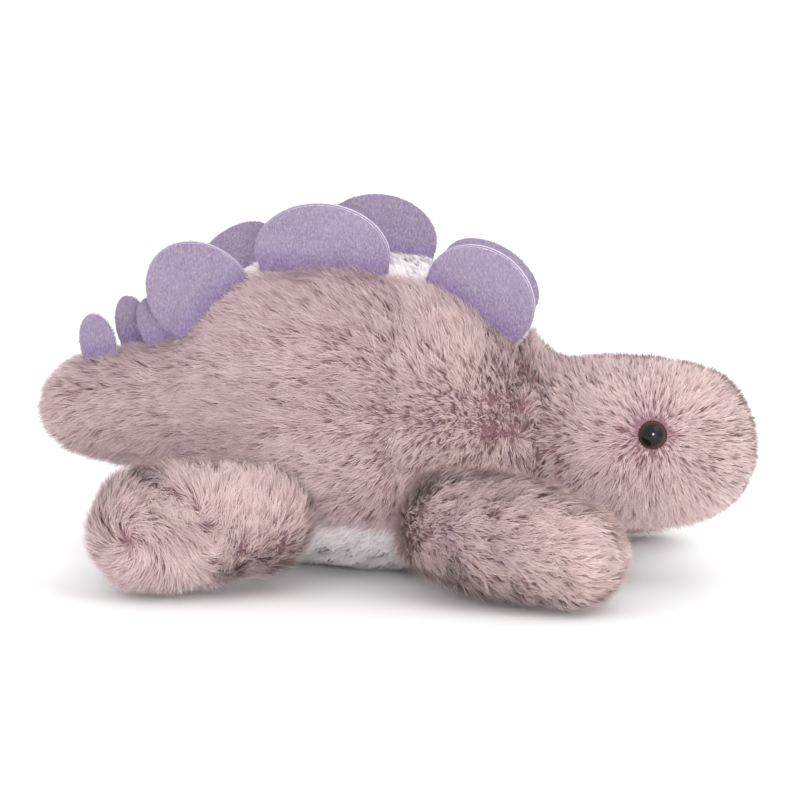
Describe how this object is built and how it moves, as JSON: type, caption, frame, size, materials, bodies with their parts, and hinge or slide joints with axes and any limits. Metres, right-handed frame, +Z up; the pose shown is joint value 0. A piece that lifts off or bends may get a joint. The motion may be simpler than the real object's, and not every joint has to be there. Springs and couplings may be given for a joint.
{
  "type": "stuffed dinosaur",
  "caption": "Plush stegosaurus lying on its belly, long-pile skin over stuffing, with felt back plates, felt tail spikes, plastic eyes and flexing neck, tail and legs.",
  "frame": {"origin": "on the floor under the middle of the toy's bounding box", "axes": "+X towards the nose, +Y towards the toy's own left side, +Z up"},
  "size_m": [0.3066, 0.2096, 0.1572],
  "materials": {
    "long_pile": "matte",
    "peach_pile": "matte",
    "short_plush": "matte",
    "lavender_felt": "matte",
    "stuffing": "matte",
    "linen": "matte",
    "eye_plastic": "gloss",
    "washer_plastic": "satin"
  },
  "bodies": {
    "torso": {"rear_body_panel_right": "long_pile", "rear_body_panel_left": "long_pile", "front_body_panel_right": "long_pile", "front_body_panel_left": "long_pile", "back_strip": "short_plush", "belly_panel": "short_plush", "body_stuffing": "stuffing", "pellet_bag": "linen"},
    "head": {"head_gusset": "peach_pile", "head_panel_right": "peach_pile", "head_panel_left": "peach_pile", "chin_panel": "long_pile", "head_stuffing": "stuffing", "eye_right": "eye_plastic", "eye_left": "eye_plastic", "eye_washer_right": "washer_plastic", "eye_washer_left": "washer_plastic"},
    "tail": {"tail_top_strip": "long_pile", "tail_panel_right": "long_pile", "tail_panel_left": "long_pile", "tail_under_panel": "long_pile", "tail_stuffing": "stuffing"},
    "rear_leg_right": {"rear_leg_right_upper_panel": "peach_pile", "rear_leg_right_sole_panel": "long_pile", "rear_leg_right_stuffing": "stuffing"},
    "rear_leg_left": {"rear_leg_left_upper_panel": "peach_pile", "rear_leg_left_sole_panel": "long_pile", "rear_leg_left_stuffing": "stuffing"},
    "front_leg_right": {"front_leg_right_upper_panel": "peach_pile", "front_leg_right_sole_panel": "long_pile", "front_leg_right_stuffing": "stuffing"},
    "front_leg_left": {"front_leg_left_upper_panel": "peach_pile", "front_leg_left_sole_panel": "long_pile", "front_leg_left_stuffing": "stuffing"},
    "plate_rear_right": {"plate_rear_right_inner": "lavender_felt", "plate_rear_right_outer": "lavender_felt"},
    "plate_middle_right": {"plate_middle_right_inner": "lavender_felt", "plate_middle_right_outer": "lavender_felt"},
    "plate_front_right": {"plate_front_right_inner": "lavender_felt", "plate_front_right_outer": "lavender_felt"},
    "plate_rear_left": {"plate_rear_left_inner": "lavender_felt", "plate_rear_left_outer": "lavender_felt"},
    "plate_middle_left": {"plate_middle_left_inner": "lavender_felt", "plate_middle_left_outer": "lavender_felt"},
    "plate_front_left": {"plate_front_left_inner": "lavender_felt", "plate_front_left_outer": "lavender_felt"},
    "spike_tip_right": {"spike_tip_right": "lavender_felt"},
    "spike_tip_left": {"spike_tip_left": "lavender_felt"},
    "spike_root_right": {"spike_root_right": "lavender_felt"},
    "spike_root_left": {"spike_root_left": "lavender_felt"}
  },
  "joints": [
    {"name": "neck_nod", "type": "hinge", "parent": "torso", "child": "head", "pos_m": [0.0393, 0, 0.055], "axis": [0, -1, 0], "range_deg": [-10, 12], "stiffness_Nm_per_rad": 1, "springref_deg": 1.72},
    {"name": "tail_wag", "type": "hinge", "parent": "torso", "child": "tail", "pos_m": [-0.065, 0, 0.066], "axis": [0, 0, 1], "range_deg": [-12, 12], "stiffness_Nm_per_rad": 0.15},
    {"name": "rear_hip_right", "type": "hinge", "parent": "torso", "child": "rear_leg_right", "pos_m": [-0.046, -0.0615, 0.029], "axis": [0, 0, 1], "range_deg": [-8, 22], "stiffness_Nm_per_rad": 0.06},
    {"name": "rear_hip_left", "type": "hinge", "parent": "torso", "child": "rear_leg_left", "pos_m": [-0.046, 0.0615, 0.029], "axis": [0, 0, -1], "range_deg": [-8, 22], "stiffness_Nm_per_rad": 0.06},
    {"name": "front_shoulder_right", "type": "hinge", "parent": "torso", "child": "front_leg_right", "pos_m": [0.034, -0.0625, 0.031], "axis": [0, 0, -1], "range_deg": [-8, 22], "stiffness_Nm_per_rad": 0.06},
    {"name": "front_shoulder_left", "type": "hinge", "parent": "torso", "child": "front_leg_left", "pos_m": [0.034, 0.0625, 0.031], "axis": [0, 0, 1], "range_deg": [-8, 22], "stiffness_Nm_per_rad": 0.06},
    {"name": "plate_rear_right_flex", "type": "hinge", "parent": "torso", "child": "plate_rear_right", "pos_m": [-0.07662, -0.01928, 0.11304], "axis": [0.766, 0, 0.6428], "range_deg": [-12, 14], "stiffness_Nm_per_rad": 0.004},
    {"name": "plate_middle_right_flex", "type": "hinge", "parent": "torso", "child": "plate_middle_right", "pos_m": [-0.028, -0.01928, 0.13186], "axis": [1, 0, 0], "range_deg": [-12, 14], "stiffness_Nm_per_rad": 0.004},
    {"name": "plate_front_right_flex", "type": "hinge", "parent": "torso", "child": "plate_front_right", "pos_m": [0.03613, -0.01829, 0.11619], "axis": [0.829, 0, -0.5592], "range_deg": [-12, 14], "stiffness_Nm_per_rad": 0.004},
    {"name": "plate_rear_left_flex", "type": "hinge", "parent": "torso", "child": "plate_rear_left", "pos_m": [-0.07096, 0.01964, 0.11841], "axis": [-0.7986, 0, -0.6018], "range_deg": [-12, 14], "stiffness_Nm_per_rad": 0.004},
    {"name": "plate_middle_left_flex", "type": "hinge", "parent": "torso", "child": "plate_middle_left", "pos_m": [-0.01245, 0.01926, 0.13136], "axis": [-0.9986, 0, 0.0523], "range_deg": [-12, 14], "stiffness_Nm_per_rad": 0.004},
    {"name": "plate_front_left_flex", "type": "hinge", "parent": "torso", "child": "plate_front_left", "pos_m": [0.03439, 0.01869, 0.118], "axis": [-0.8387, 0, 0.5446], "range_deg": [-12, 14], "stiffness_Nm_per_rad": 0.004},
    {"name": "spike_tip_right_flex", "type": "hinge", "parent": "tail", "child": "spike_tip_right", "pos_m": [-0.12567, -0.0076, 0.08968], "axis": [0.9848, 0, 0.1736], "range_deg": [-10, 10], "stiffness_Nm_per_rad": 0.002},
    {"name": "spike_tip_left_flex", "type": "hinge", "parent": "tail", "child": "spike_tip_left", "pos_m": [-0.11279, 0.0076, 0.09285], "axis": [-0.9563, 0, -0.2924], "range_deg": [-10, 10], "stiffness_Nm_per_rad": 0.002},
    {"name": "spike_root_right_flex", "type": "hinge", "parent": "tail", "child": "spike_root_right", "pos_m": [-0.09937, -0.00757, 0.09702], "axis": [0.9272, 0, 0.3746], "range_deg": [-10, 10], "stiffness_Nm_per_rad": 0.002},
    {"name": "spike_root_left_flex", "type": "hinge", "parent": "tail", "child": "spike_root_left", "pos_m": [-0.09444, 0.00757, 0.0999], "axis": [-0.8988, 0, -0.4384], "range_deg": [-10, 10], "stiffness_Nm_per_rad": 0.002}
  ]
}
